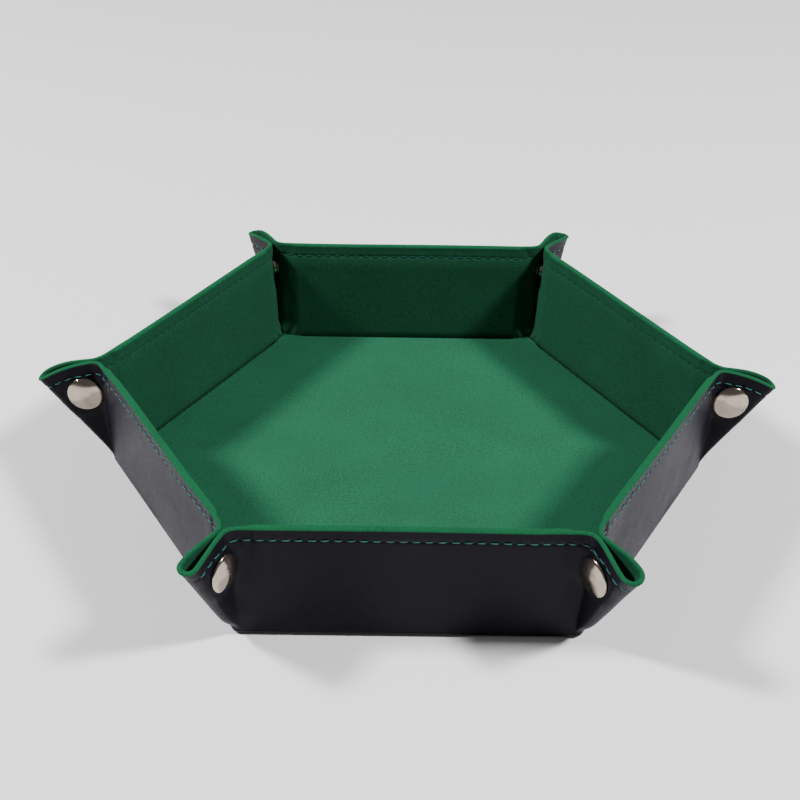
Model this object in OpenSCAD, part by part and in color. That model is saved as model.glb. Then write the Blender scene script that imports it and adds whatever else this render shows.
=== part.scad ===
// Folding dice tray. A stiffened six-sided base and six stiffened walls are covered in one sheet of
// leather outside and one of velvet inside. At each corner the two sheets have no board between
// them: they pinch outwards into an ear, which one press snap holds shut. With the snaps open the
// walls drop and the tray lies flat as a bigger hexagon.
// Millimetres. The origin is the middle of the underside, +Z is up, and the front wall faces -Y.

/* [Tray] */
// Length of one side of the base, along its fold line
side = 104; // [92:1:130]
// Width of a wall, from its fold line to its rim
wall_h = 42; // [38:0.5:45]
// Angle between a standing wall and the base, 90 being upright
stand = 87; // [82:0.5:88]
// Radius of the six corners of the opened sheet
corner_r = 12; // [6:1:16]

/* [Layers] */
// Thickness of the outer leather
leather_t = 0.8; // [0.6:0.1:1]
// Thickness of the stiffening boards
board_t = 1.7; // [1.2:0.1:2]
// Thickness of the velvet lining
velvet_t = 0.6; // [0.4:0.1:0.7]
// Height of the velvet edge that turns over the rim of the leather
rim_t = 0.9; // [0.6:0.1:1.2]

/* [Ears] */
// Half the distance between the planes about which an ear's two flaps bend
ear_half = 2.5; // [2.3:0.1:3]
// How far an ear is drawn in by the cloth that its round bends take up
ear_tuck = 1.7; // [1.2:0.1:2.2]
// Distance by which a wall's board stops short of the bend into the ear
board_gap = 8; // [6:0.5:12]

/* [Snaps] */
// Diameter of the domed caps
cap_d = 12.4; // [11.6:0.2:12.6]
// Height of a cap at its crown
cap_h = 2.1; // [1.6:0.1:2.4]
// Outer diameter of the socket and of the stud's flange
ring_d = 10.4; // [9.6:0.2:10.8]
// Diameter of the stud's knob
knob_d = 6; // [5.4:0.1:6.2]
// Diameter of the rivet post that holds a cap to its socket or stud
post_d = 3; // [2.4:0.1:3.2]
// Distance of a snap above the fold line
snap_s = 30; // [28:0.5:30.5]
// Distance of a snap beyond the base's corner, along the rim
snap_y = 7.7; // [7.6:0.1:9.2]

/* [Hidden] */
$fn = 64;
WALLS = ["back_right", "back", "back_left", "front_left", "front", "front_right"];
CORNERS = ["right", "back_right", "back_left", "left", "front_left", "front_right"];

turns = 6;                      // sides of the tray
apothem = side * cos(30);       // from the middle to a fold line
fold_z = 0.4;                   // height of the fold lines, inside the leather
corner_angle = 30;              // half the angle that a corner's gusset fills when it lies flat
soft_t = leather_t + velvet_t;  // thickness where there is no board
full_t = soft_t + board_t;      // thickness where there is a board

// Each wall turns about its fold line. A flap turns about a line that leans out from the wall's end
// by `lean`, and it turns by `bend` from lying flat to standing in the corner's own plane.
bend = acos(sin(stand) / 2);
lean = acos(cos(30) / sqrt(1 - pow(sin(stand) / 2, 2)));
// That line stands `pivot_up` above the fold lines, inside the round bend, and starts `pivot_in`
// from the corner, so that the flaps stand `ear_half` apart from the corner's middle.
pivot_in = (ear_half * sin(bend) - ear_tuck * (1 - cos(bend))) / (2 * (1 - cos(bend)));
pivot_up = (ear_half * (1 - cos(bend)) + ear_tuck * sin(bend)) / (2 * (1 - cos(bend)));

// Gaps that keep the pieces apart as they turn
gap = 0.15;                     // at each side of an ear's middle fold
base_trim = 0.8;                // from a fold line back to the base's leather
base_inset = 3.1;               // from a fold line back to the base's board and velvet
leather_start = 0.3;            // from a fold line out to a wall's leather
lining_start = 0.8;             // from a fold line out to a wall's board and velvet
soft_gap = (fold_z + pivot_up) * tan(bend / 2) + gap;  // from a bend to the flat cloth beside it
flap_start = 4;                 // from the fold line's level up to the foot of a flap
board_top = wall_h - 1.4;       // upper edge of a wall's board

// Snap pieces, measured from the velvet of the flap that carries them
plate_t = 0.5;                  // floor of the socket and flange of the stud
socket_h = 2.2;                 // height of the socket
knob_h = 1.9;                   // height of the stud, flange included
knob_room = 0.4;                // gap round the knob inside the socket
clinch_d = post_d + 1.6;        // spread end of a post
clinch_t = 0.3;
post_room = 0.05;               // gap round a post in its socket or stud, and under its spread end
hole_room = 0.1;                // gap round a post in leather and velvet
cap_edge = 0.7;                 // height of a cap at its edge
eps = 0.01;

// ---- where the walls and flaps stand -----------------------------------------------------------

// Takes a piece from where it lies flat, X outwards from its fold line, to the standing wall w.
module stand_up(w)
    rotate([0, 0, 30 + 60 * w])
        translate([apothem, 0, fold_z])
            rotate([0, -stand, 0])
                translate([0, 0, -fold_z])
                    children();

// Folds a flap at the right end of a wall about its bend; the left end is the mirror image.
module fold_flap(end)
    mirror([0, end == "r" ? 0 : 1, 0])
        translate([0, side / 2 - pivot_in, fold_z + pivot_up])
            rotate(a = -bend, v = [cos(lean), sin(lean), 0])
                translate([0, pivot_in - side / 2, -fold_z - pivot_up])
                    children();

// ---- flat outlines -----------------------------------------------------------------------------

// Six-sided plate, `inset` inside the fold lines
module hexagon(inset)
    circle(r = (apothem - inset) / cos(30), $fn = turns);

// Half the length of a wall at distance s from the fold line, `trim` short of the bend
function half_length(s, trim) = side / 2 - pivot_in + s * tan(lean) - trim / cos(lean);

module wall_outline(start, end, trim)
    polygon([
        [start, -half_length(start, trim)],
        [end, -half_length(end, trim)],
        [end, half_length(end, trim)],
        [start, half_length(start, trim)]
    ]);

// Where the ear's middle fold crosses distance s, at the right end of a wall
function diagonal(s) = side / 2 + s * tan(corner_angle) - gap / cos(corner_angle);

// One flap of an ear, lying flat at the right end of a wall, with its rim `inset` from the edge
module flap_outline(inset) {
    rim = wall_h - inset;
    centre = [wall_h - corner_r, side / 2 + (wall_h - corner_r) * tan(corner_angle)];
    difference() {
        polygon([
            [flap_start, half_length(flap_start, -soft_gap)],
            [flap_start, diagonal(flap_start)],
            [rim, diagonal(rim)],
            [rim, half_length(rim, -soft_gap)]
        ]);
        difference() {
            translate(centre)
                square(2 * corner_r);
            translate(centre)
                circle(r = corner_r - inset);
        }
    }
}

module snap_hole()
    translate([snap_s, side / 2 + snap_y, -eps])
        cylinder(d = post_d + 2 * hole_room, h = full_t);

module slab(bottom, thickness)
    translate([0, 0, bottom])
        linear_extrude(thickness)
            children();

// ---- base --------------------------------------------------------------------------------------

module base_leather()
    color("#212126")
        slab(0, leather_t)
            hexagon(base_trim);

module base_board()
    color("#8a7a5c")
        slab(leather_t, board_t)
            hexagon(base_inset);

module base_velvet()
    color("#2c7a55")
        slab(leather_t + board_t, velvet_t)
            hexagon(base_inset);

// ---- walls -------------------------------------------------------------------------------------

module wall_leather(w)
    color("#212126")
        stand_up(w)
            slab(0, leather_t)
                wall_outline(leather_start, wall_h - rim_t, soft_gap);

module wall_board(w)
    color("#8a7a5c")
        stand_up(w)
            slab(leather_t, board_t)
                wall_outline(lining_start, board_top, board_gap);

// The lining lies over the board, drops to the leather beside its ends, and turns over the rim.
module wall_velvet(w)
    color("#2c7a55")
        stand_up(w)
            difference() {
                union() {
                    slab(leather_t, velvet_t)
                        wall_outline(lining_start, wall_h, soft_gap);
                    slab(leather_t, full_t - leather_t)
                        wall_outline(lining_start, wall_h, board_gap - velvet_t);
                    slab(0, leather_t)
                        wall_outline(wall_h - rim_t, wall_h, soft_gap);
                }
                slab(leather_t - eps, board_t + eps)
                    wall_outline(lining_start - eps, board_top, board_gap);
            }

// ---- ears --------------------------------------------------------------------------------------

module flap_leather(w, end)
    color("#212126")
        stand_up(w)
            fold_flap(end)
                difference() {
                    slab(0, leather_t)
                        flap_outline(rim_t);
                    snap_hole();
                }

module flap_velvet(w, end)
    color("#2c7a55")
        stand_up(w)
            fold_flap(end)
                difference() {
                    union() {
                        slab(leather_t, velvet_t)
                            flap_outline(0);
                        slab(0, leather_t)
                            difference() {
                                flap_outline(0);
                                flap_outline(rim_t);
                            }
                    }
                    snap_hole();
                }

// ---- snaps -------------------------------------------------------------------------------------

// Domed cap on the leather, with a post through both sheets that is spread over a plate
module cap() {
    dome_r = (pow(cap_d / 2, 2) + pow(cap_h - cap_edge, 2)) / (2 * (cap_h - cap_edge));
    intersection() {
        translate([0, 0, -cap_h])
            cylinder(d = cap_d, h = cap_h);
        translate([0, 0, dome_r - cap_h])
            sphere(r = dome_r, $fn = 128);
    }
    translate([0, 0, -eps])
        cylinder(d = post_d, h = soft_t + plate_t + post_room + eps);
    translate([0, 0, soft_t + plate_t + post_room])
        cylinder(d = clinch_d, h = clinch_t);
}

// Ring that grips the knob
module socket()
    translate([0, 0, soft_t])
        difference() {
            cylinder(d = ring_d, h = socket_h);
            translate([0, 0, -eps])
                cylinder(d = post_d + 2 * post_room, h = socket_h);
            translate([0, 0, plate_t])
                cylinder(d = knob_d + 2 * knob_room, h = socket_h);
        }

// Flange and hollow knob with a rounded end
module stud() {
    knob_round = 0.5;
    translate([0, 0, soft_t])
        difference() {
            union() {
                cylinder(d = ring_d, h = plate_t);
                cylinder(d = knob_d, h = knob_h - knob_round);
                translate([0, 0, knob_h - knob_round])
                    rotate_extrude() {
                        square([knob_d / 2 - knob_round, knob_round]);
                        translate([knob_d / 2 - knob_round, 0])
                            intersection() {
                                circle(r = knob_round);
                                square(knob_round);
                            }
                    }
            }
            translate([0, 0, -eps])
                cylinder(d = post_d + 2 * post_room, h = knob_h);
            translate([0, 0, plate_t])
                cylinder(d = clinch_d + 2 * hole_room, h = knob_h);
        }
}

module on_flap(w, end)
    stand_up(w)
        fold_flap(end)
            translate([snap_s, side / 2 + snap_y, 0])
                children();

// Corner c lies between the right end of wall c - 1 and the left end of wall c.
module snap_socket(c)
    color("#c8c2ba")
        on_flap((c + turns - 1) % turns, "r") {
            cap();
            socket();
        }

module snap_stud(c)
    color("#c8c2ba")
        on_flap(c, "l") {
            cap();
            stud();
        }

// ---- what is drawn -----------------------------------------------------------------------------

base_leather();
base_board();
base_velvet();
for (w = [0 : turns - 1]) {
    wall_leather(w);
    wall_board(w);
    wall_velvet(w);
    flap_leather(w, "l");
    flap_velvet(w, "l");
    flap_leather(w, "r");
    flap_velvet(w, "r");
}
for (c = [0 : turns - 1]) {
    snap_socket(c);
    snap_stud(c);
}
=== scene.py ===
import math
import random
from collections import namedtuple

import bpy
import bmesh
import numpy as np
from mathutils import Matrix, Vector


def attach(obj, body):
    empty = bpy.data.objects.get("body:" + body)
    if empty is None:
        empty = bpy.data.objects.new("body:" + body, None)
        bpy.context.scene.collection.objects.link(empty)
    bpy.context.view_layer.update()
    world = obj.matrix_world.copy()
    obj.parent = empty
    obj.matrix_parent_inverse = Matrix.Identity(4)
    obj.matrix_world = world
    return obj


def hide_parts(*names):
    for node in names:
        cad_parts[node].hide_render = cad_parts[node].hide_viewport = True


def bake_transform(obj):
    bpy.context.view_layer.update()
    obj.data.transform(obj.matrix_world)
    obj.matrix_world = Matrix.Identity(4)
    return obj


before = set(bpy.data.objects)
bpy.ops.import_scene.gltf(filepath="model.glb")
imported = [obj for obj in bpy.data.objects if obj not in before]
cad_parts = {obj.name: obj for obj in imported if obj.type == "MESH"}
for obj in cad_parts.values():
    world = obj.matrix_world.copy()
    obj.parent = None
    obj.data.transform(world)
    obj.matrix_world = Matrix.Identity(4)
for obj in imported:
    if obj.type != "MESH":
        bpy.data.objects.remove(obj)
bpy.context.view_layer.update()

# ---- sizes, in millimetres (the CAD's own values) ------------------------------------------------

SIDE = 104.0
WALL_H = 42.0
STAND = math.radians(87)
FOLD_Z = 0.4
LEATHER_T = 0.8
BOARD_T = 1.7
VELVET_T = 0.6
SOFT_T = LEATHER_T + VELVET_T
FULL_T = SOFT_T + BOARD_T
EAR_Y = 2.9            # outer leather face at a snap, from the ear's middle
SNAP_X = 6.91
SNAP_Z = 29.86
CAP_R = 6.2
CAP_H = 2.1
RING_R = 5.2
RING_H = 2.2
STITCH_S = 37.5        # line of stitches, up the wall
STITCH_PITCH = 3.75
STITCH_LONG = 2.6
THREAD_R = 0.21
PINCH = 0.75           # how much thinner a wall is at its rim
LIP = 0.6              # how far the velvet comes down over the leather at the rim
CREASE_S = 2.8         # the velvet is painted darker below this height up a wall, as shade in the fold
BOW = 0.22             # how far a wall's faces bow in and out

C30, S30 = math.cos(math.radians(30)), 0.5
CT, ST = math.cos(STAND), math.sin(STAND)
APOTHEM = SIDE * C30
BEND_R = 2.0           # outer radius of the leather where it turns up into a wall
BEND_Z = BEND_R - FOLD_Z
BEND_X = -BEND_Z * (1 - CT) / ST
PANEL_S = BEND_X * CT + BEND_Z * ST    # where the turned leather ends and the flat wall starts
CORNER_R = 2.2         # round of the tray's corners at the fold line
CORNER_X = -CORNER_R / C30
THROAT_Y = 1.8         # half the ear's thickness at its throat

UP = np.array([0, 0, 1.0])
WALLS = ["back_right", "back", "back_left", "front_left", "front", "front_right"]
CORNERS = ["right", "back_right", "back_left", "left", "front_left", "front_right"]


def smooth(x, a, b):
    t = np.clip((np.asarray(x, float) - a) / (b - a), 0, 1)
    return t * t * (3 - 2 * t)


def mix(a, b, t):
    return a + (b - a) * t


def bezier(p, t):
    """Points at t along a cubic curve with the four control points p."""
    return (1 - t) ** 3 * p[0] + 3 * (1 - t) ** 2 * t * p[1] + 3 * (1 - t) * t * t * p[2] + t ** 3 * p[3]


def waves(seed, count, low, high):
    """A smooth random function of two lengths in mm, about -1 to 1; low and high are wavelengths."""
    rnd = random.Random(seed)
    terms = []
    for _ in range(count):
        turn = rnd.uniform(0, math.pi)
        k = 2 * math.pi / rnd.uniform(low, high)
        terms.append((k * math.cos(turn), k * math.sin(turn), rnd.uniform(0, 2 * math.pi)))
    scale = 1.4 / math.sqrt(count)

    def at(a, b):
        total = 0
        for ka, kb, phase in terms:
            total = total + np.sin(ka * a + kb * b + phase)
        return total * scale / 1.4
    return at


# ---- meshes ---------------------------------------------------------------------------------------

def new_object(name, verts, faces, material, sharp=40, others=()):
    """others: further materials, each with the numbers of the faces that get it."""
    mesh = bpy.data.meshes.new(name)
    mesh.from_pydata([tuple(v) for v in np.asarray(verts) * 0.001], [], faces)
    mesh.materials.append(material)
    for index, (other, chosen) in enumerate(others, 1):
        mesh.materials.append(other)
        for k in chosen:
            mesh.polygons[k].material_index = index
    bm = bmesh.new()
    bm.from_mesh(mesh)
    bmesh.ops.remove_doubles(bm, verts=bm.verts, dist=2e-6)
    bmesh.ops.recalc_face_normals(bm, faces=bm.faces)
    bm.to_mesh(mesh)
    bm.free()
    mesh.polygons.foreach_set("use_smooth", [True] * len(mesh.polygons))
    mesh.set_sharp_from_angle(angle=math.radians(sharp))
    obj = bpy.data.objects.new(name, mesh)
    bpy.context.scene.collection.objects.link(obj)
    return obj


def ring_faces(low, high, n, start=0):
    """Faces between two rings of n points each, given by their places in a list of rings."""
    low, high = start + low * n, start + high * n
    return [(low + i, low + (i + 1) % n, high + (i + 1) % n, high + i) for i in range(n)]


def fan_faces(ring, n, centre):
    """Faces that close a ring of n points round a centre."""
    return [(ring * n + i, ring * n + (i + 1) % n, centre) for i in range(n)]


def shell_faces(rows, cols):
    """Faces of a closed shell: two grids of rows x cols points, joined along their edges."""
    faces = []
    n = rows * cols
    for j in range(rows - 1):
        for i in range(cols - 1):
            a, d = j * cols + i, (j + 1) * cols + i
            faces.append((a, a + 1, d + 1, d))
            faces.append((n + d, n + d + 1, n + a + 1, n + a))
    top = (rows - 1) * cols
    for i in range(cols - 1):
        faces.append((i + 1, i, n + i, n + i + 1))
        faces.append((top + i, top + i + 1, n + top + i + 1, n + top + i))
    for j in range(rows - 1):
        a, b = j * cols, (j + 1) * cols
        faces.append((a, b, n + b, n + a))
        a, b = a + cols - 1, b + cols - 1
        faces.append((b, a, n + a, n + b))
    return faces


def shell(name, side_a, side_b, material, bands=(), lip=None):
    """Closed shell between two grids of points, each (rows, cols, 3). bands: (material, first row,
    last row) of parts of the first grid that get another material. lip: material of the edge at the
    last column."""
    rows, cols = side_a.shape[:2]
    verts = np.concatenate([side_a.reshape(-1, 3), side_b.reshape(-1, 3)])
    row = 2 * (cols - 1)
    others = [(other, range(a * row, min(b, rows - 1) * row, 2)) for other, a, b in bands]
    if lip:
        others.append((lip, range(rows * row + 1, rows * row + 2 * (rows - 1), 2)))
    return new_object(name, verts, shell_faces(rows, cols), material, others=others)


# ---- the leather's outer face along a wall and round an ear ----------------------------------------

def wall_point(y, s, d, bow=0.0):
    """Wall frame (outwards, along, up) of a point y along the wall, s up it, d inside its outer face."""
    r = APOTHEM + s * CT - (d - FOLD_Z) * ST + bow
    z = FOLD_Z + s * ST + (d - FOLD_Z) * CT
    return np.stack(np.broadcast_arrays(r, y, z), axis=-1)


def wall_to_world(points, w):
    angle = math.radians(30 + 60 * w)
    n = np.array([math.cos(angle), math.sin(angle), 0])
    t = np.array([-math.sin(angle), math.cos(angle), 0])
    return points[..., :1] * n + points[..., 1:2] * t + points[..., 2:] * UP


def corner_axes(w, end):
    """Origin and axes of the corner frame at an end of wall w: out along the bisector and towards the
    wall. Its third axis is up."""
    corner = math.radians(60 * w + (0 if end == "l" else 60))
    side = 1 if end == "l" else -1
    x = np.array([math.cos(corner), math.sin(corner), 0])
    y = np.array([-math.sin(corner), math.cos(corner), 0]) * side
    return SIDE * x + FOLD_Z * UP, x, y


def corner_to_world(points, w, end):
    origin, x, y = corner_axes(w, end)
    return origin + points[..., :1] * x + points[..., 1:2] * y + points[..., 2:] * UP


def board_end(s):
    """Distance from the corner to the end of the wall's board."""
    return 9.317 - 0.0302 * s


def outer_r(s):
    return s * CT + FOLD_Z * ST


def on_wall_line(t, s):
    r = outer_r(s)
    return np.stack(np.broadcast_arrays(-0.5 * t + r * C30, C30 * t + 0.5 * r), axis=-1)


def ear_lip(s, look):
    """How far an ear's middle fold stands out; the round loop takes up a little of the cloth."""
    foot = look.foot * smooth(s, 0, 10) * (1 - smooth(s, 8, 42))
    return -1.87 + 0.5745 * s + look.long * s / WALL_H + foot


def ear_section(s, look):
    """Plan of the ear's outer face at height s: a fine line from the board's end to the middle fold."""
    r = outer_r(s)
    lip = ear_lip(s, look)
    z = s * ST
    loop_y = 1.5 + look.loop * (s / 40) ** 1.3

    def flank(x, start, stop):
        y = mix(THROAT_Y + look.throat * (s / 40), loop_y, smooth(x, start, stop))
        near = 1 - smooth(np.hypot(x - SNAP_X, z - SNAP_Z), 5.8, 9.5)
        return mix(y, EAR_Y, near)

    throat = THROAT_Y
    for _ in range(4):
        t_corner = (throat - 0.5 * r) / C30
        x_corner = -0.5 * t_corner + r * C30
        lip = max(lip, x_corner + 0.8)
        length = lip - x_corner
        loop = min(look.blunt * loop_y, 0.55 * length)
        stop = max(lip - loop, x_corner + 0.3)
        throat = float(flank(x_corner, x_corner, stop))
    round_it = float(smooth(s, 8, 40))
    x_end = x_corner + min(mix(1.3, 3.0, round_it), 0.45 * length)
    x_end = min(x_end, stop - 0.05)
    y_end = float(flank(x_end, x_corner, stop))
    slope = float(flank(x_end + 0.1, x_corner, stop) - y_end) / 0.1
    t_start = min(t_corner + mix(1.6, 3.8, round_it), board_end(s) - 2.0)
    # along the wall
    wall = on_wall_line(np.linspace(board_end(s), t_start, 24), s)
    # round the throat
    p0, p3 = wall[-1], np.array([x_end, y_end])
    corner = np.array([x_corner, throat])
    p1 = mix(p0, corner, mix(0.85, 0.7, round_it))
    reach = mix(0.85, 0.7, round_it) * (x_end - x_corner)
    p2 = p3 - reach * np.array([1, slope])
    throat_line = bezier((p0, p1, p2, p3), np.linspace(0, 1, 40)[1:, None])
    # along the ear
    x = np.linspace(x_end, stop, 60)[1:]
    ear = np.stack([x, flank(x, x_corner, stop)], axis=-1)
    # round the middle fold
    a = np.linspace(0, math.pi / 2, 50)[1:]
    y_stop = float(flank(stop, x_corner, stop))
    fold = np.stack([stop + (lip - stop) * np.sin(a), y_stop * np.cos(a)], axis=-1)
    return np.concatenate([wall, throat_line, ear, fold]), x_corner


def low_section(s):
    """The same line near the floor, where the corner is round and there is no ear yet."""
    r = outer_r(s)
    radius = CORNER_R + r
    meet = np.array([CORNER_X + radius * C30, radius * S30])
    start = on_wall_line(board_end(s), s)
    wall = mix(start, meet, np.linspace(0, 1, 60)[:, None])
    a = np.radians(np.linspace(30, 0, 60))[1:]
    arc = np.stack([CORNER_X + radius * np.cos(a), radius * np.sin(a)], axis=-1)
    return np.concatenate([wall, arc])


def resample(line, fractions):
    step = np.linalg.norm(np.diff(line, axis=0), axis=1)
    at = np.concatenate([[0], np.cumsum(step)])
    want = fractions * at[-1]
    return np.stack([np.interp(want, at, line[:, k]) for k in range(2)], axis=-1)


def columns():
    """Fractions of the way from the board's end to the lip, close together where the cloth steps down
    off the board."""
    step, flat = np.linspace(0.012, 0.1, 12), np.linspace(0.1, 0.99, 60)[1:]
    return np.concatenate([[0, 0.004], step, flat, [0.996, 1]])


def levels(start, stop):
    """Heights up a wall, close together at the stitches and at the edge."""
    low, high = STITCH_S - 0.8, STITCH_S + 0.8
    rows = [[start, start + 0.12, stop - 0.12, stop]]
    for first, last, step in ((1.9, 8, 0.55), (8.4, low - 1, 1.15), (low - 0.8, low, 0.35), (low, high, 0.16),
                              (high + 0.2, WALL_H - 0.6, 0.4)):
        rows.append(np.arange(first, last, step))
    rows = np.unique(np.round(np.concatenate(rows), 4))
    rows = rows[(rows >= start) & (rows <= stop)]
    keep = [rows[0]]
    for v in rows[1:]:
        if v - keep[-1] > 0.1 or v == rows[-1]:
            keep.append(v)
    return np.array(keep)


# No two ears of a soft tray hang alike. long: how far the tip stands out, loop: how wide the cloth
# opens at the tip, drop and sag: how far the tip hangs, throat: how far the ear opens at its root,
# blunt: how round the tip is, foot: how far it bulges low down.
Look = namedtuple("Look", "long loop drop sag throat blunt foot")
EAR_LOOKS = {
    "right": Look(long=0.3, loop=1.5, drop=4.0, sag=2.4, throat=-0.3, blunt=0.95, foot=0),
    "back_right": Look(long=1.0, loop=2.0, drop=1.6, sag=0.4, throat=0.1, blunt=0.8, foot=0),
    "back_left": Look(long=0.6, loop=1.5, drop=1.8, sag=1.0, throat=0, blunt=0.85, foot=0),
    "left": Look(long=1.0, loop=1.5, drop=4.4, sag=2.6, throat=-0.4, blunt=0.9, foot=0),
    "front_left": Look(long=0.0, loop=1.6, drop=2.2, sag=0.6, throat=-0.4, blunt=0.9, foot=2.0),
    "front_right": Look(long=0.5, loop=2.2, drop=3.2, sag=0.8, throat=-0.5, blunt=0.9, foot=1.8),
}


def corner_of(w, end):
    return CORNERS[w if end == "l" else (w + 1) % 6]


def gusset_surface(w, end, rows, fractions):
    """Outer face of the leather from a board's end to an ear's lip, and its normals, in the corner frame.
    Also the length along it from the board's end."""
    look = EAR_LOOKS[corner_of(w, end)]
    plan, ear_x = [], []
    for s in rows:
        high, x_corner = ear_section(s, look)
        high = resample(high, fractions)
        low = resample(low_section(s), fractions)
        m = float(smooth(s, 1.6, 4.6))
        plan.append(mix(low, high, m))
        ear_x.append(x_corner)
    plan = np.array(plan)
    ear_x = np.array(ear_x)[:, None]
    s = rows[:, None]
    m = smooth(s, 1.6, 4.6)
    z = s * ST - FOLD_Z * CT - 0.03 * m * np.maximum(0, plan[..., 0] - ear_x)
    reach = np.clip((plan[..., 0] - ear_x) / np.maximum(ear_lip(s, look) - ear_x, 1), 0, 1)
    z = z - (look.drop * reach ** 3 + look.sag * reach) * (s / WALL_H) ** 1.3
    points = np.concatenate([plan, z[..., None]], axis=-1)
    du = np.gradient(points, axis=1)
    ds = np.gradient(points, rows, axis=0)
    normal = np.cross(ds, du)
    normal /= np.linalg.norm(normal, axis=2, keepdims=True)
    flat = np.array([ST * C30, ST * S30, -CT])
    sign = 1 if normal[0, 2] @ flat > 0 else -1
    normal = normal * sign
    normal[:, 0] = flat
    normal[:, 1] = flat
    normal[:, -1, 1] = 0
    normal /= np.linalg.norm(normal, axis=2, keepdims=True)
    step = np.linalg.norm(np.diff(points, axis=1), axis=2)
    run = np.concatenate([np.zeros((len(rows), 1)), np.cumsum(step, axis=1)], axis=1)
    return points, normal, run


def full(s):
    """Thickness of a wall where it has a board, whose long edges are pressed thinner."""
    return FULL_T - PINCH * smooth(s, WALL_H - 9, WALL_H - 1.5) - 0.4 * (1 - smooth(s, 1.5, 4.5))


def thickness(run, s):
    """Leather, board and velvet on the board; leather and velvet past its end. The step is sharper
    near the rim."""
    return mix(full(s), SOFT_T, smooth(run, 0.1, mix(8.5, 3.6, smooth(s, 34, 40.5))))


def groove(s, along, seed):
    """How deep the line of stitches pulls the surface in."""
    rnd = waves(seed, 3, 20, 60)
    phase = 0.5 + 0.5 * np.cos(2 * math.pi * along / STITCH_PITCH)
    depth = 0.15 + 0.1 * phase + 0.03 * rnd(along, 0 * along)
    return depth * np.exp(-(((s - STITCH_S) / 0.55) ** 2))


def stitch_depth(f, side, thick):
    """Depth of a stitch below the leather's face, f from -1 to 1 along it. side: 1 outside, -1 inside."""
    sink = 0.42 * abs(f) ** 4 - 0.55 * THREAD_R
    return 0.12 + sink if side > 0 else thick - 0.16 - sink


def depth_to(points, normal, depth, keep_off=None):
    moved = points - normal * depth[..., None]
    if keep_off is not None:
        moved[..., 1] = np.maximum(moved[..., 1], keep_off)
    return moved


def rim_profile(start, side):
    """Rows of a velvet sheet as (s, share of the thickness from the outer face, extra depth):
    up the inner face, over the edge and down to the leather. side is 'a' for the pile, 'b' for the back."""
    up = levels(start, WALL_H - 1.0)[:-1]
    inner = [(s, 1.0, 0.0) for s in up]
    roll = []
    for a in np.linspace(0, math.pi, 15):
        share = 0.5 + 0.5 * math.copysign(abs(math.cos(a)) ** 0.85, math.cos(a))
        rise = math.sin(a) ** 0.85
        if side == "a":
            down = 1.0 if a < math.pi / 2 else LIP
            roll.append((WALL_H - down + down * rise, share, -0.16 * float(smooth(a, 1.6, 3.1))))
        else:
            roll.append((WALL_H - 1.0 + 0.4 * rise, share, 0.0))
    return inner, roll


# ---- materials ---------------------------------------------------------------------------------------

def nodes_of(name):
    material = bpy.data.materials.new(name)
    material.use_nodes = True
    tree = material.node_tree
    tree.nodes.clear()
    out = tree.nodes.new("ShaderNodeOutputMaterial")
    shader = tree.nodes.new("ShaderNodeBsdfPrincipled")
    tree.links.new(shader.outputs[0], out.inputs[0])
    coords = tree.nodes.new("ShaderNodeTexCoord")
    return material, tree, shader, coords.outputs["Object"]


def put(node, values):
    """Sets inputs of a node by their names."""
    for name, value in values.items():
        node.inputs[name].default_value = value


def noise(tree, coords, scale, detail=3.0, rough=0.5, stretch=None, distort=0.0):
    node = tree.nodes.new("ShaderNodeTexNoise")
    put(node, {"Scale": scale, "Detail": detail, "Roughness": rough, "Distortion": distort})
    if stretch:
        mapping = tree.nodes.new("ShaderNodeMapping")
        put(mapping, {"Scale": stretch})
        tree.links.new(coords, mapping.inputs[0])
        coords = mapping.outputs[0]
    tree.links.new(coords, node.inputs["Vector"])
    return node.outputs["Fac"]


def ramp(tree, value, stops):
    node = tree.nodes.new("ShaderNodeValToRGB")
    elements = node.color_ramp.elements
    while len(elements) < len(stops):
        elements.new(0.5)
    for element, (at, colour) in zip(elements, stops):
        element.position = at
        if not hasattr(colour, "__len__"):
            colour = (colour, colour, colour)
        element.color = (*colour, 1)
    tree.links.new(value, node.inputs[0])
    return node.outputs[0]


def number(tree, value, low, high, from_low=0.0, from_high=1.0):
    node = tree.nodes.new("ShaderNodeMapRange")
    put(node, {"From Min": from_low, "From Max": from_high, "To Min": low, "To Max": high})
    tree.links.new(value, node.inputs["Value"])
    return node.outputs[0]


def maths(tree, how, a, b):
    node = tree.nodes.new("ShaderNodeMath")
    node.operation = how
    for socket, value in zip(node.inputs, (a, b)):
        if hasattr(value, "links"):
            tree.links.new(value, socket)
        else:
            socket.default_value = value
    return node.outputs[0]


def mixed(tree, share, a, b):
    node = tree.nodes.new("ShaderNodeMix")
    node.data_type = "RGBA"
    tree.links.new(share, node.inputs["Factor"])
    for socket, value in zip((node.inputs[6], node.inputs[7]), (a, b)):
        if hasattr(value, "links"):
            tree.links.new(value, socket)
        else:
            socket.default_value = (*value, 1)
    return node.outputs[2]


def bump(tree, height, distance, strength=1.0, under=None):
    node = tree.nodes.new("ShaderNodeBump")
    put(node, {"Strength": strength, "Distance": distance})
    tree.links.new(height, node.inputs["Height"])
    if under is not None:
        tree.links.new(under, node.inputs["Normal"])
    return node.outputs[0]


def srgb(text):
    values = [int(text[i:i + 2], 16) / 255 for i in (0, 2, 4)]
    return tuple(v / 12.92 if v <= 0.04045 else ((v + 0.055) / 1.055) ** 2.4 for v in values)


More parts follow.
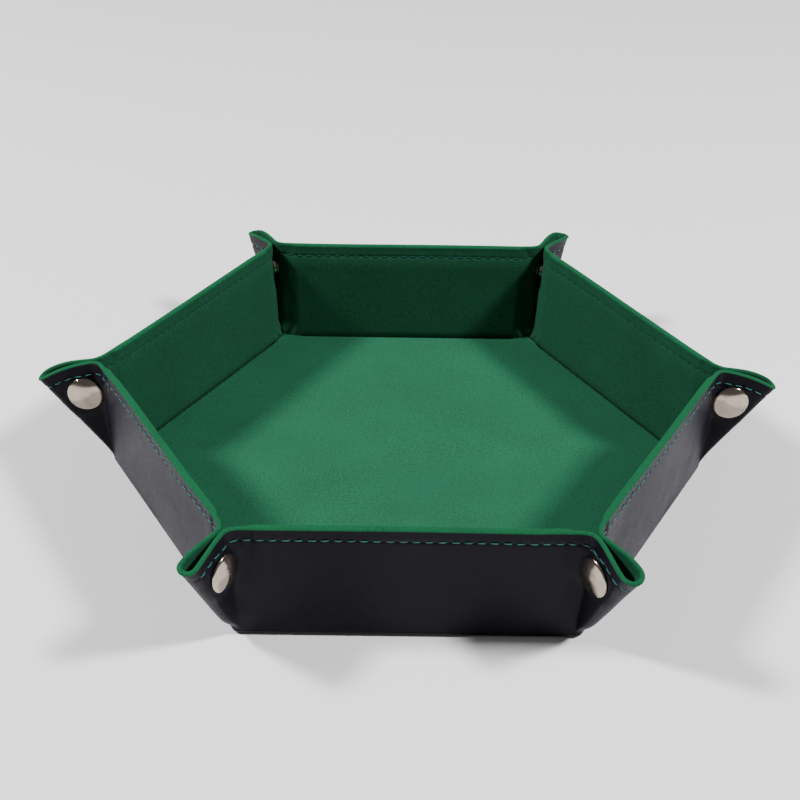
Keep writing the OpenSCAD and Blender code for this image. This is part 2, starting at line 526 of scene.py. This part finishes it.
def make_leather():
    material, tree, shader, coords = nodes_of("leather")
    cells = tree.nodes.new("ShaderNodeTexVoronoi")
    cells.feature = "DISTANCE_TO_EDGE"
    put(cells, {"Scale": 900})
    warp = tree.nodes.new("ShaderNodeTexNoise")
    put(warp, {"Scale": 260})
    tree.links.new(coords, warp.inputs["Vector"])
    shift = tree.nodes.new("ShaderNodeVectorMath")
    shift.operation = "MULTIPLY_ADD"
    tree.links.new(warp.outputs["Color"], shift.inputs[0])
    shift.inputs[1].default_value = (0.0016, 0.0016, 0.0016)
    tree.links.new(coords, shift.inputs[2])
    tree.links.new(shift.outputs[0], cells.inputs["Vector"])
    grain = ramp(tree, cells.outputs["Distance"], [(0.0, 0.0), (0.12, 0.75), (0.5, 1.0)])
    pores = noise(tree, coords, 2400, 2)
    soft = noise(tree, coords, 26, 3, 0.5, distort=0.4)
    wear = noise(tree, coords, 60, 5, 0.62, distort=0.8)
    creases = noise(tree, coords, 110, 2, 0.5, stretch=(1.0, 1.0, 0.35))
    tone = mixed(tree, number(tree, soft, 0, 1, 0.35, 0.65), srgb("0A0A0E"), srgb("0E0E13"))
    tone = mixed(tree, number(tree, wear, 0, 0.5, 0.52, 0.75), tone, srgb("15151B"))
    tree.links.new(tone, shader.inputs["Base Color"])
    rough = maths(tree, "ADD", number(tree, wear, 0.32, 0.40, 0.3, 0.7), number(tree, grain, 0.10, 0.0))
    tree.links.new(rough, shader.inputs["Roughness"])
    normal = bump(tree, soft, 0.0006, 0.3)
    normal = bump(tree, creases, 0.00022, 0.5, normal)
    normal = bump(tree, grain, 0.00004, 0.5, normal)
    normal = bump(tree, pores, 0.00003, 0.35, normal)
    tree.links.new(normal, shader.inputs["Normal"])
    put(shader, {"IOR": 1.18, "Specular Tint": (0.9, 0.84, 1.0, 1), "Sheen Weight": 0.058,
                 "Sheen Roughness": 0.3, "Sheen Tint": (0.42, 0.28, 1.0, 1)})
    return material


def make_velvet(name, shade, tint=(1, 1, 1)):
    """shade: how light it looks, the sheen scaled with it. The walls and the creases get darker copies,
    painted shade, and the rims a copy lighter than the walls', painted light on their tops.
    """
    material, tree, shader, coords = nodes_of(name)
    low, middle, high, worn = (tuple(shade * v * t for v, t in zip(srgb(c), tint))
                               for c in ("17482F", "1A553B", "24684B", "184F38"))
    pile = noise(tree, coords, 2600, 3, 0.7)
    nap = noise(tree, coords, 1300, 3, 0.6, distort=0.3)
    mottle = noise(tree, coords, 48, 5, 0.6, distort=0.5)
    brushed = noise(tree, coords, 15, 3, 0.5, stretch=(1.0, 2.2, 1.0), distort=0.3)
    tone = mixed(tree, number(tree, mottle, 0, 1, 0.3, 0.7), low, middle)
    tone = mixed(tree, number(tree, nap, 0, 0.9, 0.32, 0.72), tone, high)
    tone = mixed(tree, number(tree, brushed, 0, 0.35, 0.4, 0.7), tone, worn)
    tree.links.new(tone, shader.inputs["Base Color"])
    tree.links.new(number(tree, nap, 0.78, 0.98), shader.inputs["Roughness"])
    normal = bump(tree, mottle, 0.0002, 0.25)
    normal = bump(tree, nap, 0.00004, 0.5, normal)
    normal = bump(tree, pile, 0.00006, 0.8, normal)
    tree.links.new(normal, shader.inputs["Normal"])
    sheen = (*(v * t for v, t in zip(srgb("4FB488"), tint)), 1)
    put(shader, {"Sheen Weight": 0.33 * shade, "Sheen Roughness": 0.45, "Sheen Tint": sheen,
                 "Specular IOR Level": 0.12})
    return material


def make_thread(name, shade):
    """shade: how light it looks, with sheen and specular scaled down with it; the stitches inside the tray
    get a dark copy, painted shade.
    """
    material, tree, shader, coords = nodes_of(name)
    twist = tree.nodes.new("ShaderNodeTexWave")
    put(twist, {"Scale": 1500, "Distortion": 1.5})
    tree.links.new(coords, twist.inputs["Vector"])
    fuzz = noise(tree, coords, 900, 2)
    tone = mixed(tree, fuzz, *(tuple(shade * v for v in srgb(c)) for c in ("125A52", "258074")))
    tree.links.new(tone, shader.inputs["Base Color"])
    tree.links.new(number(tree, fuzz, 0.28, 0.5), shader.inputs["Roughness"])
    normal = bump(tree, twist.outputs["Fac"], 0.0001, 0.6)
    tree.links.new(normal, shader.inputs["Normal"])
    put(shader, {"Sheen Weight": 0.1 * shade, "Specular IOR Level": 0.5 * shade})
    return material


def make_nickel():
    material, tree, shader, coords = nodes_of("nickel")
    brushed = noise(tree, coords, 900, 3, 0.6)
    stain = noise(tree, coords, 160, 4, 0.6, distort=0.5)
    put(shader, {"Metallic": 1.0})
    tone = mixed(tree, number(tree, stain, 0, 1, 0.4, 0.75), srgb("AFA195"), srgb("928579"))
    tree.links.new(tone, shader.inputs["Base Color"])
    tree.links.new(number(tree, stain, 0.09, 0.19, 0.3, 0.7), shader.inputs["Roughness"])
    normal = bump(tree, brushed, 0.00002, 0.25)
    tree.links.new(normal, shader.inputs["Normal"])
    return material


def make_board():
    material, tree, shader, coords = nodes_of("greyboard")
    pulp = noise(tree, coords, 700, 4, 0.7)
    layers = noise(tree, coords, 300, 2, 0.5, stretch=(0.2, 0.2, 6.0))
    tone = mixed(tree, number(tree, pulp, 0, 1, 0.3, 0.7), srgb("7D7466"), srgb("978D7C"))
    tree.links.new(tone, shader.inputs["Base Color"])
    tree.links.new(number(tree, layers, 0.85, 0.97), shader.inputs["Roughness"])
    normal = bump(tree, pulp, 0.0001, 0.6)
    tree.links.new(bump(tree, layers, 0.0001, 0.4, normal), shader.inputs["Normal"])
    return material


LEATHER, THREAD, NICKEL, BOARD = make_leather(), make_thread("thread", 0.8), make_nickel(), make_board()
# The rims' velvet is a copy lighter than the walls', painted light on their tops; its tint makes it a greener
# green.
VELVET, LIT_RIM_VELVET = make_velvet("velvet", 0.94), make_velvet("velvet_rim_lit", 0.8, (0.6, 1.0, 0.8))
# The walls' velvet is a darker copy of the floor's, painted shade for the light that reaches the walls less.
SHADED_WALL_VELVET, CREASE_SHADE_VELVET = make_velvet("velvet_wall_shaded", 0.58), make_velvet("velvet_crease_shade", 0.3)
# The stitches inside the tray get a dark copy of the thread, painted shade.
SHADED_THREAD = make_thread("thread_inside_shaded", 0.3)

# ---- base --------------------------------------------------------------------------------------------

def rounded_outline(inset, radius, bulge=0.0, along=26, arc=7):
    """Points round the six-sided base, inset inside the fold lines. bulge pushes the corners outwards."""
    turn = np.radians(np.linspace(-30, 30, arc))
    centre = SIDE - (inset + radius) / C30
    arcs = []
    for c in range(6):
        a = math.radians(60 * c)
        x, y = np.array([math.cos(a), math.sin(a)]), np.array([-math.sin(a), math.cos(a)])
        arcs.append((centre + radius * np.cos(turn))[:, None] * x + radius * np.sin(turn)[:, None] * y)
    steps = 0.5 - 0.5 * np.cos(np.linspace(0, math.pi, along + 2)[1:-1, None])
    points = []
    for here, following in zip(arcs, arcs[1:] + arcs[:1]):
        points += [here, mix(here[-1], following[0], steps)]
    points = np.concatenate(points)
    if bulge:
        near = corner_near(points)[:, None]
        out = points / np.linalg.norm(points, axis=1, keepdims=True)
        angle = np.arctan2(points[:, 1], points[:, 0])
        wall = np.radians(30 + 60 * np.floor(np.degrees(angle % (2 * math.pi)) / 60))
        n = np.stack([np.cos(wall), np.sin(wall)], axis=-1)
        points = points + near * bulge * mix(n, out, near ** 2)
    return points


def corner_near(plan):
    """1 at a corner of the base, 0 from where the walls' boards start."""
    corners = [SIDE * np.array([math.cos(a), math.sin(a)]) for a in np.radians(60 * np.arange(6))]
    best = np.min([np.hypot(*(plan - corner).T) for corner in corners], axis=0)
    return 1 - smooth(best, 5.5, 11.0)


def loops_to_solid(name, loops, cap_first, cap_last, material, other=None, rings=(0, 0)):
    """Closed solid from rings of points, with a fan at each end round the points cap_first and
    cap_last. The faces between the two rings given get the other material."""
    n, last = len(loops[0]), len(loops) - 1
    faces = []
    for k in range(last):
        faces += ring_faces(k, k + 1, n)
    faces += fan_faces(0, n, len(loops) * n) + fan_faces(last, n, len(loops) * n + 1)
    verts = np.concatenate([*loops, [cap_first, cap_last]])
    others = [(other, range(rings[0] * n, rings[1] * n))] if other else ()
    return new_object(name, verts, faces, material, others=others)


def build_base():
    swell = waves(7, 7, 45, 110)
    pleats = waves(8, 4, 3, 6)

    def ring(inset, z, radius=0.5, scale=1.0, bulge=0.0, lift=0.0, wavy=0.0):
        plan = rounded_outline(inset, radius, bulge) * scale
        height = z + lift * corner_near(plan) ** 1.5 * (1 + 0.2 * pleats(*plan.T)) + wavy * swell(*plan.T)
        return np.concatenate([plan, height[:, None]], axis=1)

    top = FULL_T
    shares = (0.03, 0.12, 0.22, 0.32, 0.42, 0.52, 0.62, 0.72, 0.81, 0.88, 0.94)
    loops = [ring(4.6, top, scale=f, wavy=0.1) for f in shares]
    loops += [ring(4.6, top, 0.9, wavy=0.07, bulge=0.1)]
    # inset, height, bulge and lift of each ring round the edge
    edge = [(4.3, 3.1, 0.1, 0.1), (4.05, 3.08, 0.2, 0.2), (3.85, 3.04, 0.3, 0.35), (3.67, 2.98, 0.4, 0.5),
            (3.5, 2.9, 0.45, 0.65), (3.35, 2.8, 0.5, 0.8), (3.2, 2.66, 0.6, 0.95), (3.05, 2.48, 0.65, 1.1),
            (2.9, 2.2, 0.75, 1.2), (2.8, 1.8, 0.85, 0.8), (2.78, 1.3, 0.95, 0.2)]
    loops += [ring(inset, z, 0.7, 1, bulge, lift, 0.04) for inset, z, bulge, lift in edge]
    loops += [ring(3.06, 1.3, bulge=0.5), ring(3.07, 2.3, bulge=0.3), ring(3.2, 2.52)]
    loops += [ring(3.9, 2.5, scale=f) for f in (0.9, 0.6, 0.3, 0.03)]
    # the rings round the floor's edge get the crease velvet, painted shade where the floor meets the walls
    crease = (len(shares) + 4, len(shares) + 1 + len(edge))
    velvet = loops_to_solid("base_velvet_cloth", loops, (0, 0, top), (0, 0, 2.5), VELVET,
                            CREASE_SHADE_VELVET, crease)
    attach(velvet, "base")
    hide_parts("base_velvet")

    crumple = waves(11, 6, 30, 80)

    def under(inset, z, radius, scale=1.0, wavy=0.0):
        plan = rounded_outline(inset, radius) * scale
        height = z + wavy * (0.5 + 0.5 * crumple(*plan.T))
        return np.concatenate([plan, height[:, None]], axis=1)

    inset, radius = -BEND_X, CORNER_R + BEND_X
    loops = [under(inset, 0, radius, f, 0.05) for f in (0.03, 0.2, 0.4, 0.6, 0.8, 0.92, 0.98)]
    loops += [under(inset + 0.15, 0, radius), under(inset, 0, radius), under(inset, 0.79, radius)]
    loops += [under(inset, 0.79, radius, f) for f in (0.97, 0.8, 0.5, 0.2, 0.03)]
    leather = loops_to_solid("base_leather_cloth", loops, (0, 0, 0.02), (0, 0, 0.79), LEATHER)
    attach(leather, "base")
    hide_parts("base_leather")


# ---- walls -------------------------------------------------------------------------------------------

def foot_line(r, arc=7, along=30):
    """Plan points (outwards, along) of a line along a wall's foot, r outside the fold line."""
    radius = CORNER_R + r
    turn = np.radians(np.linspace(30, 0, arc))
    centre = np.array([APOTHEM + CORNER_X * C30, SIDE / 2 + CORNER_X * S30])
    right = centre + radius * np.stack([np.cos(turn), np.sin(turn)], axis=-1)
    left = right[::-1] * np.array([1, -1])
    between = mix(right[-1], left[0], np.linspace(0, 1, along)[1:-1, None])
    return np.concatenate([right, between, left])


def strip(w, name, side_a, side_b, material):
    """A strip along the foot of wall w, from matched lines (distance outside the fold line, height)."""
    def sheet_of(line):
        rows = []
        for r, z in line:
            plan = foot_line(r)
            rows.append(np.concatenate([plan, np.full((len(plan), 1), FOLD_Z + z)], axis=1))
        return wall_to_world(np.array(rows), w)

    obj = shell(name, sheet_of(side_a), sheet_of(side_b), material)
    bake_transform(obj)
    return obj


def build_wall(w):
    name = WALLS[w]
    body = name + "_wall"
    # where the leather turns up from the base
    turn = np.linspace(0, STAND, 12)
    outer = [(BEND_X + BEND_R * math.sin(a), BEND_Z - BEND_R * math.cos(a)) for a in turn]
    inner_r = BEND_R - LEATHER_T
    inner = [(BEND_X + inner_r * math.sin(a), BEND_Z - inner_r * math.cos(a)) for a in turn]
    bend = strip(w, name + "_wall_bend", outer, inner, LEATHER)
    # velvet that lines the fold, painted dark all over as shade in the fold
    t = np.linspace(0, 1, 12)[:, None]
    front = bezier(np.array([(-2.62, 0.9), (-1.5, 0.46), (-0.82, 0.46), (-0.88, 0.77)]), t)
    back = bezier(np.array([(-2.62, 0.42), (-1.45, 0.41), (-0.62, 0.44), (-0.6, 0.72)]), t)
    crease = strip(w, name + "_wall_crease_shade", front, back, CREASE_SHADE_VELVET)

    ripple = waves(500 + w, 6, 22, 60)
    nap = waves(600 + w, 6, 25, 70)
    bow = waves(700 + w, 3, 70, 130)

    def panel(rows, shares, depth):
        """Points of the panel: heights, shares of the thickness, depth(s, y, window, share)."""
        rows, shares = np.asarray(rows)[:, None], np.asarray(shares)[:, None]
        edge = np.concatenate([[-1, -0.997], np.linspace(-1, 1, 117)[1:-1], [0.997, 1]])[None, :]
        y = (SIDE / 2 - board_end(rows)) * edge
        window = 1 - smooth(np.abs(edge), 0.8, 0.99)
        lean = BOW * bow(y, 0 * rows) * window * smooth(rows, 4, 30)
        return wall_to_world(wall_point(y, rows, depth(rows, y, window, shares), bow=lean), w)

    def leather_out(s, y, window, share):
        inside = smooth(s, PANEL_S, PANEL_S + 3)
        return groove(s, y, 900 + w) - 0.12 * ripple(y, s) * window * inside

    rows = levels(PANEL_S, WALL_H - LIP + 0.08)
    side_a = panel(rows, rows * 0, leather_out)
    side_b = panel(rows, rows * 0, lambda s, y, window, share: LEATHER_T + 0 * y)
    leather = shell(name + "_wall_leather_cloth", side_a, side_b, LEATHER)
    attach(leather, body)
    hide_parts(name + "_wall_leather")

    inner_rows, roll = rim_profile(1.3, "a")
    _, back_roll = rim_profile(1.3, "b")
    foot_a = [(0.78, 0.484, 0.0), (0.8, 0.75, 0.0), (0.95, 0.93, 0.0)]
    foot_b = [(0.80, 0.46, 0.0), (0.86, 0.70, 0.0), (1.0, 0.8065, 0.0)]
    profile_a = foot_a + inner_rows + roll + [(WALL_H - LIP - 0.12, 0.06, 0.0)]
    profile_b = foot_b + inner_rows + back_roll + [(WALL_H - 1.1, 0.12, 0.0)]
    # rows past full_inner are the rim, which gets the lighter copy of the velvet, painted light
    full_inner = len(foot_a) + len(inner_rows)
    heights, shares, extra = np.array(profile_a).T

    def velvet_face(s, y, window, share):
        top = smooth(s, WALL_H - 2.5, WALL_H - 1)
        stitched = smooth(share, 0.93, 1) * groove(s, y, 950 + w)
        uneven = 0.06 * nap(y, s) * window * smooth(s, 2, 6) * (1 - top)
        return full(s) * share - stitched + uneven + extra[:, None]

    side_a = panel(heights, shares, velvet_face)
    board_face = (FULL_T - VELVET_T) / FULL_T
    shares = [p[1] for p in foot_b] + [board_face] * len(inner_rows)
    shares += [mix(0.14, board_face, p[1]) for p in profile_b[full_inner:]]
    side_b = panel([p[0] for p in profile_b], shares, lambda s, y, window, share: full(s) * share + 0 * y)
    # the wall's lowest rows get the crease velvet, painted shade in the fold
    crease_shade_rows = len(foot_a) + sum(p[0] < CREASE_S for p in inner_rows) - 1
    # painted shade: the wall's velvet is the darker copy, with the crease and rim copies in bands
    velvet = shell(name + "_wall_velvet_cloth", side_a, side_b, SHADED_WALL_VELVET,
                   [(CREASE_SHADE_VELVET, 0, crease_shade_rows), (LIT_RIM_VELVET, full_inner + 1, len(profile_a))])
    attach(velvet, body)
    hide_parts(name + "_wall_velvet")

    # board, its upper edge pressed thinner
    rows = np.concatenate([[1.15, 1.3, 2, 3], np.arange(4, WALL_H - 9, 4),
                           np.arange(WALL_H - 9, WALL_H - 2, 1.2), [WALL_H - 1.55, WALL_H - 1.4]])
    side_a = panel(rows, rows * 0, lambda s, y, window, share: LEATHER_T + 0.02 + 0 * y)
    side_b = panel(rows, rows * 0, lambda s, y, window, share: full(s) - VELVET_T - 0.02 + 0 * y)
    board = shell(name + "_wall_board_solid", side_a, side_b, BOARD)
    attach(board, body)
    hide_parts(name + "_wall_board")

    # stitches, outside and inside
    reach = SIDE / 2 - board_end(STITCH_S)
    count = int((reach - 1.0) / STITCH_PITCH - 0.5) + 1
    centres = [(k + 0.5) * STITCH_PITCH * sign for k in range(count) for sign in (1, -1)]
    verts, faces, outside = [], [], 0
    rnd = random.Random(300 + w)
    for side in (1, -1):
        for c in centres:
            jitter = rnd.uniform(-0.08, 0.08)
            tilt = rnd.uniform(-0.07, 0.07)
            line = []
            for f in np.linspace(-1, 1, 9):
                y = c + jitter + f * STITCH_LONG / 2
                d = stitch_depth(f, side, full(STITCH_S))
                lean = BOW * bow(y, 0.0) * (1 - smooth(abs(y) / reach, 0.8, 0.99))
                line.append(wall_point(y, STITCH_S + tilt * f, d, bow=lean))
            add_thread(verts, faces, wall_to_world(np.array(line), w))
        outside = outside or len(faces)
    thread = new_object(name + "_wall_thread", np.array(verts), faces, THREAD, 80,
                        [(SHADED_THREAD, range(outside, len(faces)))])
    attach(thread, body)


def add_thread(verts, faces, line, sides=7):
    """A short thread along a line of points, tapered at both ends."""
    n = len(line)
    base = len(verts)
    tangent = np.gradient(line, axis=0)
    tangent /= np.linalg.norm(tangent, axis=1, keepdims=True)
    for k in range(n):
        f = abs(2 * k / (n - 1) - 1)
        radius = THREAD_R * math.sqrt(max(1 - f ** 4, 0.08))
        across = np.cross(tangent[k], UP)
        across /= np.linalg.norm(across)
        other = np.cross(across, tangent[k])
        for i in range(sides):
            a = 2 * math.pi * i / sides
            verts.append(line[k] + radius * (math.cos(a) * across + math.sin(a) * other))
    for k in range(n - 1):
        faces += ring_faces(k, k + 1, sides, base)
    faces.append(tuple(base + i for i in range(sides))[::-1])
    faces.append(tuple(base + (n - 1) * sides + i for i in range(sides)))


# ---- ears --------------------------------------------------------------------------------------------

def build_gusset(w, end):
    name = f"{WALLS[w]}_flap_{end}"
    corner = corner_of(w, end)
    seed = 100 + 10 * CORNERS.index(corner) + (0 if end == "l" else 3)
    fractions = columns()
    ripple = waves(seed, 5, 12, 30)
    pleat = waves(seed + 1, 4, 9, 22)

    def bend(obj):
        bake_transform(obj)

    def offsets(points, run, s):
        window = smooth(run, 0.3, 4) * smooth(run[:, -1:] - run, 0, 4)
        snap = np.hypot(points[..., 0] - SNAP_X, points[..., 2] - SNAP_Z)
        calm = smooth(snap, 6.0, 10.0) * smooth(s, 3, 9)
        return window, snap, calm

    # leather
    rows = levels(PANEL_S, WALL_H - LIP + 0.08)
    points, normal, run = gusset_surface(w, end, rows, fractions)
    s = rows[:, None]
    window, snap, calm = offsets(points, run, s)
    along = run + SIDE / 2 - board_end(STITCH_S)
    dimple = 0.14 * np.exp(-(((snap - 6.9) / 0.8) ** 2))
    out = groove(s, along, seed + 5) * smooth(run[:, -1:] - run, 0.2, 1.5)
    out = out - 0.15 * ripple(run, s) * window * calm + dimple * (points[..., 1] > 1.5)
    # the leather sinks where the board ends, close below the rim
    out = out + 0.4 * np.exp(-(((run - 1.9) / 0.9) ** 2)) * smooth(s, 26, 38)
    side_a = corner_to_world(depth_to(points, normal, out), w, end)
    side_b = corner_to_world(depth_to(points, normal, LEATHER_T + 0 * out, 0.06), w, end)
    # its end faces at the ear's middle get the crease velvet, the painted-shade copy
    leather = shell(name + "_leather_cloth", side_a, side_b, LEATHER, lip=CREASE_SHADE_VELVET)
    bend(leather)
    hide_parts(name + "_leather")

    # velvet
    inner_rows, roll = rim_profile(1.3, "a")
    _, back_roll = rim_profile(1.3, "b")
    profile_a = [(0.85, 1.0, 0.0)] + inner_rows + roll + [(WALL_H - LIP - 0.12, 0.1, 0.0)]
    profile_b = [(p[0], None, 0.0) for p in profile_a[:len(inner_rows) + 1]]
    profile_b += back_roll + [(WALL_H - 1.1, 0.2, 0.0)]

    def face(profile, front):
        """World points of one face of the velvet, and the length of its longest row."""
        heights = np.array([p[0] for p in profile])
        order = np.unique(np.concatenate([levels(0.85, WALL_H - 1.0), heights]))
        pick = np.searchsorted(order, heights)
        points, normal, length = (grid[pick] for grid in gusset_surface(w, end, order, fractions))
        level = heights[:, None]
        thick = thickness(length, level)
        depth = np.zeros_like(length)
        for k, (_, share, extra) in enumerate(profile):
            if share is None:
                depth[k] = thick[k] - VELVET_T + 0.02
            elif front:
                depth[k] = thick[k] * share + extra
            else:
                depth[k] = mix(0.45, thick[k] - VELVET_T + 0.02, share)
        if front:
            inner = np.array([float(share is not None and share > 0.93) for _, share, _ in profile])[:, None]
            window, _, calm = offsets(points, length, level)
            top = smooth(level, WALL_H - 2.5, WALL_H - 1)
            at = length + SIDE / 2 - board_end(STITCH_S)
            sink = groove(level, at, seed + 6) * smooth(length[:, -1:] - length, 1.0, 3.0)
            depth = depth - inner * (sink + 0.07 * pleat(length, level) * window * calm * (1 - top))
            # low in the corner the velvet is pushed together into a few slanting wrinkles
            low = (1 - smooth(level, 1.5, 8.5)) * smooth(length, 0.3, 5)
            depth = depth + inner * low * (1.2 + 0.55 * np.sin(1.5 * length + 1.2 * level + seed))
        points = depth_to(points, normal, depth, 0.05 if front else 0.03)
        return corner_to_world(points, w, end), float(length.max())

    side_a, longest = face(profile_a, True)
    side_b, _ = face(profile_b, False)
    # the ear's lowest rows get the crease velvet, painted shade in the fold
    crease_shade_rows = sum(p[0] < CREASE_S for p in inner_rows)
    # painted light and shade: the ear's velvet is the walls' darker copy, its low rows the crease copy and
    # its rim the lighter copy
    velvet = shell(name + "_velvet_cloth", side_a, side_b, SHADED_WALL_VELVET,
                   [(CREASE_SHADE_VELVET, 0, crease_shade_rows), (LIT_RIM_VELVET, len(inner_rows) + 2, len(profile_a))])
    bend(velvet)
    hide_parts(name + "_velvet")

    # stitches
    order = np.unique(np.append(levels(30, WALL_H - 1), STITCH_S))
    row = int(np.searchsorted(order, STITCH_S))
    line_p, line_n, line_r = (grid[row] for grid in gusset_surface(w, end, order, fractions))
    start = SIDE / 2 - board_end(STITCH_S)
    first = int((start - 1.0) / STITCH_PITCH - 0.5) + 1
    rnd = random.Random(seed + 9)
    verts, faces, outside = [], [], 0
    for side in (1, -1):
        k = first
        while True:
            centre = (k + 0.5) * STITCH_PITCH - start
            stop = line_r[-1] - (1.2 if side > 0 else 3.4)
            if centre + STITCH_LONG / 2 > stop:
                break
            k += 1
            jitter = rnd.uniform(-0.08, 0.08)
            tilt = rnd.uniform(-0.05, 0.05)
            line = []
            for f in np.linspace(-1, 1, 9):
                at = centre + jitter + f * STITCH_LONG / 2
                p = np.array([np.interp(at, line_r, line_p[:, q]) for q in range(3)])
                if at < 0:
                    p = p + at * np.array([0.5, -C30, 0.0])
                n = np.array([np.interp(at, line_r, line_n[:, q]) for q in range(3)])
                n /= np.linalg.norm(n)
                d = stitch_depth(f, side, thickness(max(at, 0), STITCH_S))
                q = p - n * d + np.array([0, 0, tilt * f])
                q[1] = max(q[1], THREAD_R + 0.02)
                line.append(q)
            add_thread(verts, faces, corner_to_world(np.array(line), w, end))
        outside = outside or len(faces)
    thread = new_object(name + "_thread", np.array(verts), faces, THREAD, 80,
                        [(SHADED_THREAD, range(outside, len(faces)))])
    bend(thread)


# ---- snaps -------------------------------------------------------------------------------------------

def lathe(name, profile, w, end, segments, closed=False, shape=None):
    """Turns a profile (radius, height outwards from the ear's middle) about the snap's axis. closed: the
    profile ends where it starts, otherwise a fan closes each end. shape(radius, angle): extra height."""
    verts, faces = [], []
    rings = len(profile)
    for radius, height in profile:
        for i in range(segments):
            a = 2 * math.pi * i / segments
            lift = shape(radius, a) if shape else 0.0
            verts.append((SNAP_X + radius * math.cos(a), height + lift, SNAP_Z + radius * math.sin(a)))
    for k in range(rings if closed else rings - 1):
        faces += ring_faces(k, (k + 1) % rings, segments)
    if not closed:
        for ring in (0, rings - 1):
            faces += fan_faces(ring, segments, len(verts))
            verts.append((SNAP_X, profile[ring][1], SNAP_Z))
    obj = new_object(name, corner_to_world(np.array(verts), w, end), faces, NICKEL, sharp=35)
    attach(obj, f"{WALLS[w]}_flap_{end}")
    return obj


def cap_profile():
    """Rivet post, back, rolled rim and dome of a cap."""
    rim_r, rim_h = CAP_R - 0.45, 0.85
    points = [(1.5, -LEATHER_T - 0.9), (1.5, -0.05), (CAP_R - 0.55, -0.05), (CAP_R - 0.2, 0.0),
              (CAP_R - 0.03, 0.14), (CAP_R, 0.32), (CAP_R - 0.05, 0.52), (CAP_R - 0.2, 0.7), (rim_r, rim_h)]
    for f in np.linspace(0, 1, 14)[1:-1]:
        r = rim_r * (1 - f)
        points.append((r, rim_h + (CAP_H - rim_h) * (1 - (r / rim_r) ** 2.1)))
    points.append((0.12, CAP_H))
    return [(r, EAR_Y + h) for r, h in points]


SOCKET = [(1.62, 0), (RING_R - 0.15, 0), (RING_R, -0.15), (RING_R, -0.6), (RING_R - 0.5, -0.9),
          (RING_R - 0.55, 0.25 - RING_H), (RING_R - 0.8, -RING_H), (3.7, -RING_H), (3.42, 0.25 - RING_H),
          (3.42, -0.52), (1.62, -0.5)]
STUD = [(1.62, 0), (RING_R - 0.12, 0), (RING_R, -0.12), (RING_R, -0.38), (RING_R - 0.12, -0.5), (3.2, -0.5),
        (3.0, -0.65), (2.92, -1.0), (3.0, -1.45), (2.8, -1.78), (2.5, -1.9), (2.45, -1.85), (2.4, -0.55),
        (1.62, -0.5)]


def build_snap(c):
    corner = CORNERS[c]
    for half, w, end, ring in (("socket", (c + 5) % 6, "r", SOCKET), ("stud", c, "l", STUD)):
        dent = waves(800 + 20 * c + (0 if end == "l" else 5), 3, 8, 16)

        def shape(radius, a):
            return 0.035 * float(dent(radius * math.cos(a), radius * math.sin(a))) * (1 - radius / CAP_R)

        cap = lathe(f"{corner}_snap_{half}_cap", cap_profile(), w, end, 64, shape=shape)
        lining = EAR_Y - SOFT_T
        lathe(f"{corner}_snap_{half}_ring", [(r, lining + h) for r, h in ring], w, end, 48, closed=True)
        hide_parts(f"{corner}_snap_{half}")


# ---- build -------------------------------------------------------------------------------------------

build_base()
for _w in range(6):
    build_wall(_w)
    for _end in ("l", "r"):
        build_gusset(_w, _end)
for _c in range(6):
    build_snap(_c)
_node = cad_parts["base_board"]
_node.data.materials.clear()
_node.data.materials.append(BOARD)

# ---- studio ------------------------------------------------------------------------------------------

def build_floor():
    mesh = bpy.data.meshes.new("floor")
    r = 3.0
    mesh.from_pydata([(-r, -r, 0), (r, -r, 0), (r, r, 0), (-r, r, 0)], [], [(0, 1, 2, 3)])
    material, _, shader, _ = nodes_of("floor")
    put(shader, {"Base Color": (0.94, 0.94, 0.94, 1), "Roughness": 0.85, "Specular IOR Level": 0.2})
    mesh.materials.append(material)
    obj = bpy.data.objects.new("floor", mesh)
    bpy.context.scene.collection.objects.link(obj)


def area_light(name, place, target, size, power):
    data = bpy.data.lights.new(name, "AREA")
    data.shape = "RECTANGLE"
    data.size, data.size_y = size
    data.energy = power
    obj = bpy.data.objects.new(name, data)
    obj.location = place
    direction = Vector(target) - Vector(place)
    obj.rotation_euler = direction.to_track_quat("-Z", "Y").to_euler()
    bpy.context.scene.collection.objects.link(obj)


def sky(azimuth, elevation, distance):
    """A place in the studio seen from the tray's middle, angles in degrees."""
    a, e = math.radians(azimuth), math.radians(elevation)
    level = distance * math.cos(e)
    return (level * math.cos(a), level * math.sin(a), distance * math.sin(e))


build_floor()
# Two soft boxes, left and right of the tray. Each throws the shadow of the walls on its own side.
area_light("key_left", sky(180.5, 43.5, 1.6), (0, 0, 0.02), (0.22, 0.22), 34.5)
area_light("key_right", sky(-14, 44.7, 1.6), (0, 0, 0.02), (0.22, 0.22), 34.5)

world = bpy.data.worlds.new("world")
bpy.context.scene.world = world
world.use_nodes = True
world.node_tree.nodes["Background"].inputs[0].default_value = (1, 1, 1, 1)
world.node_tree.nodes["Background"].inputs[1].default_value = 0.16


def build_camera():
    """Camera in front of the tray and above it, looking 32 degrees down."""
    yaw, pitch, roll = math.radians(0.43), math.radians(32.36), math.radians(1.02)
    forward = Vector((math.sin(yaw) * math.cos(pitch), math.cos(yaw) * math.cos(pitch), -math.sin(pitch)))
    right = Vector((math.cos(yaw), -math.sin(yaw), 0))
    up = right.cross(forward)
    right, up = math.cos(roll) * right + math.sin(roll) * up, -math.sin(roll) * right + math.cos(roll) * up
    data = bpy.data.cameras.new("camera")
    data.lens = 62.18
    data.sensor_width = 36
    data.clip_end = 20
    obj = bpy.data.objects.new("camera", data)
    turn = Matrix((right, up, -forward)).transposed()
    obj.matrix_world = Matrix.Translation((-0.0059, -0.4049, 0.2841)) @ turn.to_4x4()
    bpy.context.scene.collection.objects.link(obj)
    bpy.context.scene.camera = obj


build_camera()
